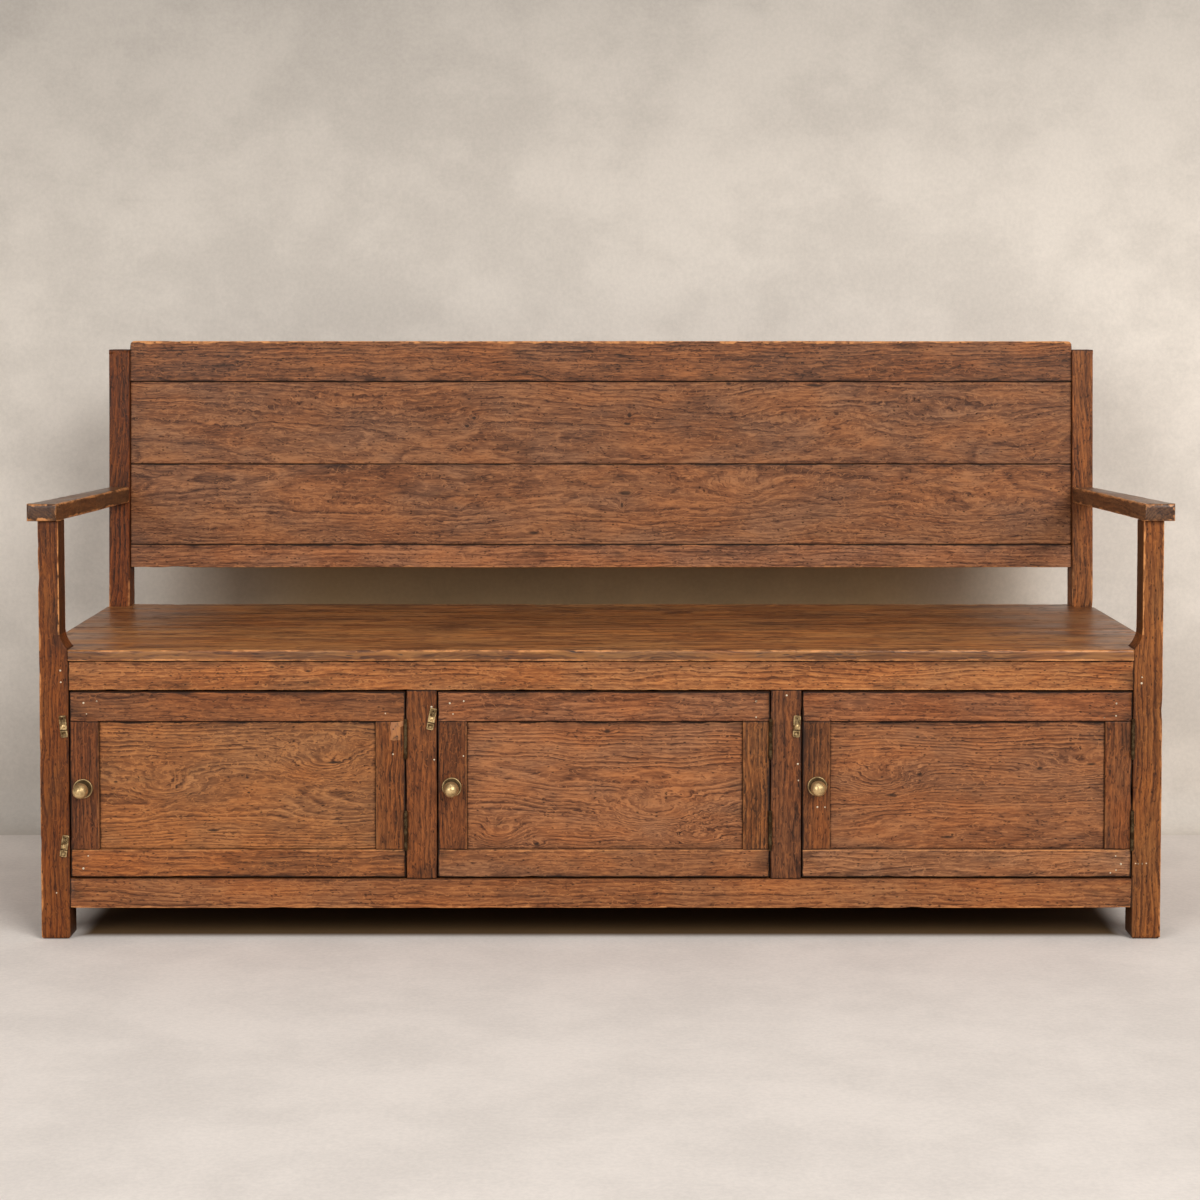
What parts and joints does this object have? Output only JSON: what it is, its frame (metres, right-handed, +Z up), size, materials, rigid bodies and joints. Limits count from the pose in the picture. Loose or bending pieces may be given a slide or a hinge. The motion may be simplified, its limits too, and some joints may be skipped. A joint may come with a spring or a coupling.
{
  "type": "monks bench",
  "caption": "Wooden hall bench with open arms and a boarded leaning back over a row of panelled cupboards, with butt-hinged doors, ball knobs and turn buttons.",
  "frame": {"origin": "on the floor, below the middle of the bench's outer box", "axes": "+X along the bench, to the right as seen from its front, +Y from its front to its back, +Z up"},
  "size_m": [1.8616, 0.6618, 0.9692],
  "materials": {
    "dark_teak": "aged dark reddish brown, satin",
    "red_teak": "aged reddish brown, satin, worn lighter on its edges",
    "golden_teak": "aged golden brown, satin, worn lighter on its edges",
    "aged_brass": "tarnished, rubbed bright on what stands proud"
  },
  "bodies": {
    "root": {"front_post_left": "red_teak", "front_post_right": "red_teak", "rear_post_left": "dark_teak", "rear_post_right": "dark_teak", "arm_left": "red_teak", "arm_right": "red_teak", "end_top_rail_left": "red_teak", "end_top_rail_right": "red_teak", "end_bottom_rail_left": "red_teak", "end_bottom_rail_right": "red_teak", "end_panel_left": "red_teak", "end_panel_right": "red_teak", "front_top_rail": "golden_teak", "front_bottom_rail": "golden_teak", "rear_plank": "dark_teak", "cupboard_floor": "dark_teak", "seat_front_board": "golden_teak", "seat_rear_board": "golden_teak", "muntin_left": "dark_teak", "muntin_right": "dark_teak", "partition_left": "dark_teak", "partition_right": "dark_teak", "back_top_rail": "dark_teak", "back_upper_board": "red_teak", "back_lower_board": "red_teak", "back_bottom_rail": "red_teak", "hinge_left_lower_frame_leaf": "aged_brass", "hinge_left_upper_frame_leaf": "aged_brass", "hinge_middle_lower_frame_leaf": "aged_brass", "hinge_middle_upper_frame_leaf": "aged_brass", "hinge_right_lower_frame_leaf": "aged_brass", "hinge_right_upper_frame_leaf": "aged_brass"},
    "door_left": {"door_left_top_rail": "red_teak", "door_left_bottom_rail": "red_teak", "door_left_latch_stile": "red_teak", "door_left_hinge_stile": "red_teak", "door_left_panel": "red_teak", "knob_left": "aged_brass", "hinge_left_lower_door_leaf": "aged_brass", "hinge_left_upper_door_leaf": "aged_brass"},
    "door_middle": {"door_middle_top_rail": "red_teak", "door_middle_bottom_rail": "red_teak", "door_middle_latch_stile": "red_teak", "door_middle_hinge_stile": "red_teak", "door_middle_panel": "red_teak", "knob_middle": "aged_brass", "hinge_middle_lower_door_leaf": "aged_brass", "hinge_middle_upper_door_leaf": "aged_brass"},
    "door_right": {"door_right_top_rail": "red_teak", "door_right_bottom_rail": "red_teak", "door_right_latch_stile": "red_teak", "door_right_hinge_stile": "red_teak", "door_right_panel": "red_teak", "knob_right": "aged_brass", "hinge_right_lower_door_leaf": "aged_brass", "hinge_right_upper_door_leaf": "aged_brass"},
    "button_left_upper": {"turn_button_left_upper": "aged_brass"},
    "button_left_lower": {"turn_button_left_lower": "aged_brass"},
    "button_middle": {"turn_button_middle": "aged_brass"},
    "button_right": {"turn_button_right": "aged_brass"}
  },
  "joints": [
    {"name": "door_left_swing", "type": "hinge", "parent": "root", "child": "door_left", "pos_m": [-0.31855, -0.29935, 0.25], "axis": [0, 0, 1], "range_deg": [0, 145]},
    {"name": "door_middle_swing", "type": "hinge", "parent": "root", "child": "door_middle", "pos_m": [0.2762, -0.29935, 0.25], "axis": [0, 0, 1], "range_deg": [0, 145]},
    {"name": "door_right_swing", "type": "hinge", "parent": "root", "child": "door_right", "pos_m": [0.867, -0.29935, 0.25], "axis": [0, 0, 1], "range_deg": [0, 170]},
    {"name": "button_left_upper_turn", "type": "hinge", "parent": "root", "child": "button_left_upper", "pos_m": [-0.8758, -0.2995, 0.35033], "axis": [0, 1, 0], "continuous": true},
    {"name": "button_left_lower_turn", "type": "hinge", "parent": "root", "child": "button_left_lower", "pos_m": [-0.8758, -0.2995, 0.1538], "axis": [0, 1, 0], "continuous": true},
    {"name": "button_middle_turn", "type": "hinge", "parent": "root", "child": "button_middle", "pos_m": [-0.27585, -0.2985, 0.36252], "axis": [0, 1, 0], "continuous": true},
    {"name": "button_right_turn", "type": "hinge", "parent": "root", "child": "button_right", "pos_m": [0.3189, -0.2985, 0.35033], "axis": [0, 1, 0], "continuous": true}
  ]
}
